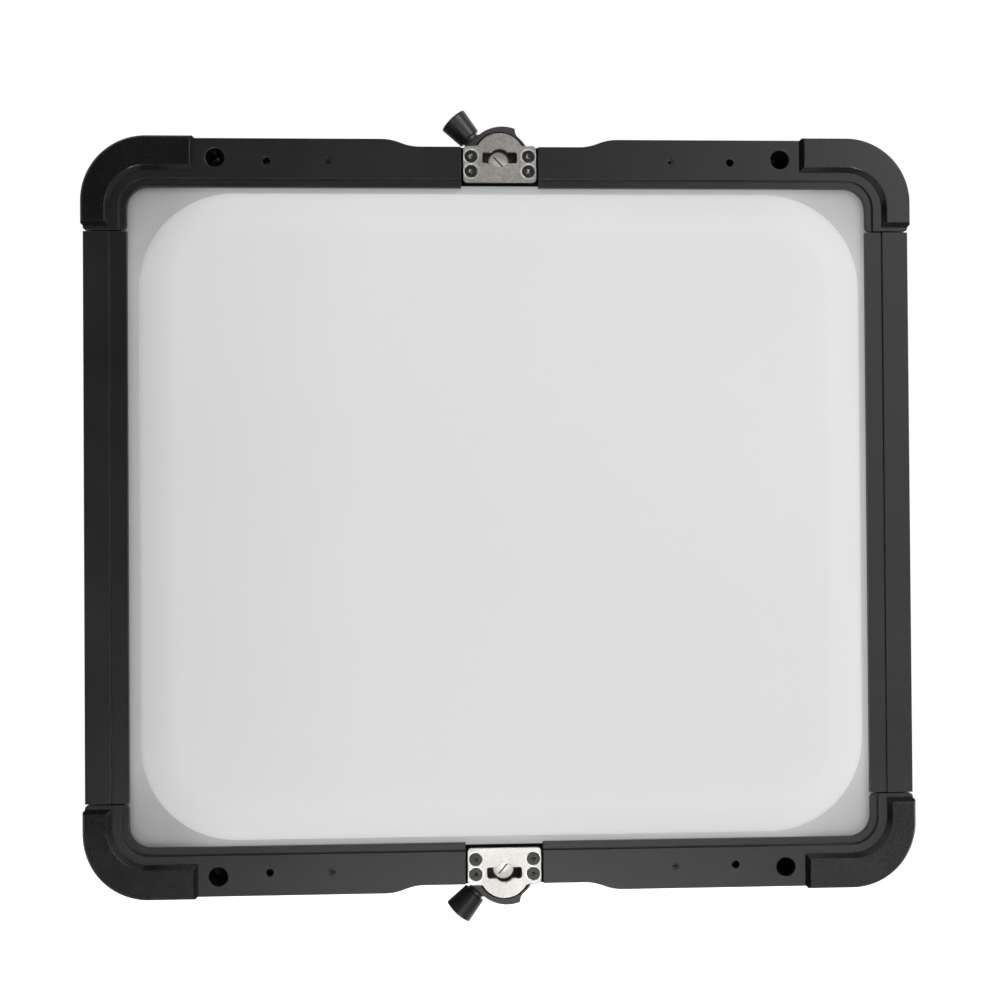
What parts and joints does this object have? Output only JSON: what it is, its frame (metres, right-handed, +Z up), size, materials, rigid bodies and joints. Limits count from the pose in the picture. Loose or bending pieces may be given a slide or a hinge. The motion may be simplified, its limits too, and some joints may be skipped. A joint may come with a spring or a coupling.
{
  "type": "led panel light",
  "caption": "Rectangular LED panel light with an opal dome diffuser, black cast frame, corner bumpers and quick-lock latches at top and bottom.",
  "frame": {"origin": "centre of the rear mount plate's back face", "axes": "+Z up, +X to the right seen from the front, the light leaves along -Y, +Y points out of the back"},
  "size_m": [0.5402, 0.17, 0.5338],
  "materials": {
    "frame_black": "satin black powder coat on cast aluminium",
    "rail_black": "satin black anodised extrusion",
    "bumper_black": "fine-grained black impact plastic",
    "screw_black": "black oxide steel",
    "opal": "satin opal diffuser",
    "seal": "closed-cell foam",
    "white_plastic": "matt white reflector sheet",
    "board_white": "white solder mask on aluminium",
    "led_yellow": "phosphor over white package",
    "aluminium": "plain extruded",
    "housing_black": "textured black housing",
    "foot_rubber": "matt rubber",
    "mount_metal": "dark anodised, machined",
    "fan_black": "black fan plastic",
    "case_steel": "galvanised sheet",
    "board_green": "green solder mask",
    "bezel_black": "smooth black",
    "display_glass": "dark display window",
    "control_knob": "soft-touch black",
    "button_grey": "grey silicone rubber",
    "connector": "black chromed socket",
    "inlet": "blue-black inlet",
    "rocker": "black rocker",
    "latch_steel": "tumbled stainless",
    "lever_black": "black coated cast lever",
    "grip": "black rubber grip",
    "neck_steel": "black oxide steel",
    "stud_steel": "turned steel",
    "spring_steel": "spring steel",
    "bronze": "sintered bronze"
  },
  "bodies": {
    "root": {"top_casting": "frame_black", "bottom_casting": "frame_black", "left_side_rail": "rail_black", "right_side_rail": "rail_black", "bumper_top_left": "bumper_black", "bumper_top_right": "bumper_black", "bumper_bottom_left": "bumper_black", "bumper_bottom_right": "bumper_black", "frame_bolts": "screw_black", "frame_set_screws": "screw_black", "latch_plate_screws": "screw_black", "housing_screws": "screw_black", "mount_plate_screws": "screw_black", "fan_screws": "screw_black", "heat_sink_screws": "screw_black", "led_board_screws": "screw_black", "dome_diffuser": "opal", "diffuser_gasket": "seal", "mixing_box": "white_plastic", "led_board_left": "board_white", "led_board_right": "board_white", "led_emitters": "led_yellow", "heat_sink": "aluminium", "rear_housing": "housing_black", "rear_feet": "foot_rubber", "mount_plate": "mount_metal", "fan_frame_left": "fan_black", "fan_frame_right": "fan_black", "power_supply": "case_steel", "driver_board": "board_green", "control_board": "board_green", "control_bezel": "bezel_black", "display_window": "display_glass", "data_in_connector": "connector", "data_out_connector": "connector", "power_inlet": "inlet", "rocker_frame": "bezel_black", "top_latch_plate": "latch_steel", "bottom_latch_plate": "latch_steel", "latch_springs": "spring_steel", "latch_bushings": "bronze"},
    "top_latch": {"top_latch_lever": "lever_black", "top_lever_knob": "grip", "top_lever_neck": "neck_steel", "top_latch_stud": "stud_steel", "top_latch_nut": "screw_black"},
    "bottom_latch": {"bottom_latch_lever": "lever_black", "bottom_lever_knob": "grip", "bottom_lever_neck": "neck_steel", "bottom_latch_stud": "stud_steel", "bottom_latch_nut": "screw_black"},
    "fan_left": {"fan_rotor_left": "fan_black"},
    "fan_right": {"fan_rotor_right": "fan_black"},
    "dimmer_knob": {"dimmer_knob": "control_knob"},
    "colour_knob": {"colour_knob": "control_knob"},
    "menu_knob": {"menu_knob": "control_knob"},
    "button_1": {"button_1": "button_grey"},
    "button_2": {"button_2": "button_grey"},
    "button_3": {"button_3": "button_grey"},
    "power_rocker": {"power_rocker": "rocker"}
  },
  "joints": [
    {"name": "top_latch_turn", "type": "hinge", "parent": "root", "child": "top_latch", "pos_m": [0, -0.101, 0.2324], "axis": [0, 1, 0], "range_deg": [0, 90]},
    {"name": "bottom_latch_turn", "type": "hinge", "parent": "root", "child": "bottom_latch", "pos_m": [0, -0.101, -0.2324], "axis": [0, -1, 0], "range_deg": [0, 90]},
    {"name": "fan_left_spin", "type": "hinge", "parent": "root", "child": "fan_left", "pos_m": [-0.15, -0.027, 0.085], "axis": [0, 1, 0], "continuous": true},
    {"name": "fan_right_spin", "type": "hinge", "parent": "root", "child": "fan_right", "pos_m": [0.15, -0.027, 0.085], "axis": [0, 1, 0], "continuous": true},
    {"name": "dimmer_turn", "type": "hinge", "parent": "root", "child": "dimmer_knob", "pos_m": [0.014, -0.014, -0.13], "axis": [0, 1, 0], "continuous": true},
    {"name": "colour_turn", "type": "hinge", "parent": "root", "child": "colour_knob", "pos_m": [0.048, -0.014, -0.13], "axis": [0, 1, 0], "continuous": true},
    {"name": "menu_turn", "type": "hinge", "parent": "root", "child": "menu_knob", "pos_m": [0.082, -0.014, -0.13], "axis": [0, 1, 0], "continuous": true},
    {"name": "button_1_press", "type": "slide", "parent": "root", "child": "button_1", "axis": [0, -1, 0], "range_m": [0, 0.0012], "stiffness_N_per_m": 600},
    {"name": "button_2_press", "type": "slide", "parent": "root", "child": "button_2", "axis": [0, -1, 0], "range_m": [0, 0.0012], "stiffness_N_per_m": 600},
    {"name": "button_3_press", "type": "slide", "parent": "root", "child": "button_3", "axis": [0, -1, 0], "range_m": [0, 0.0012], "stiffness_N_per_m": 600},
    {"name": "rocker_tilt", "type": "hinge", "parent": "root", "child": "power_rocker", "pos_m": [-0.073, -0.0135, -0.186], "axis": [0, 0, -1], "range_deg": [0, 16]}
  ]
}
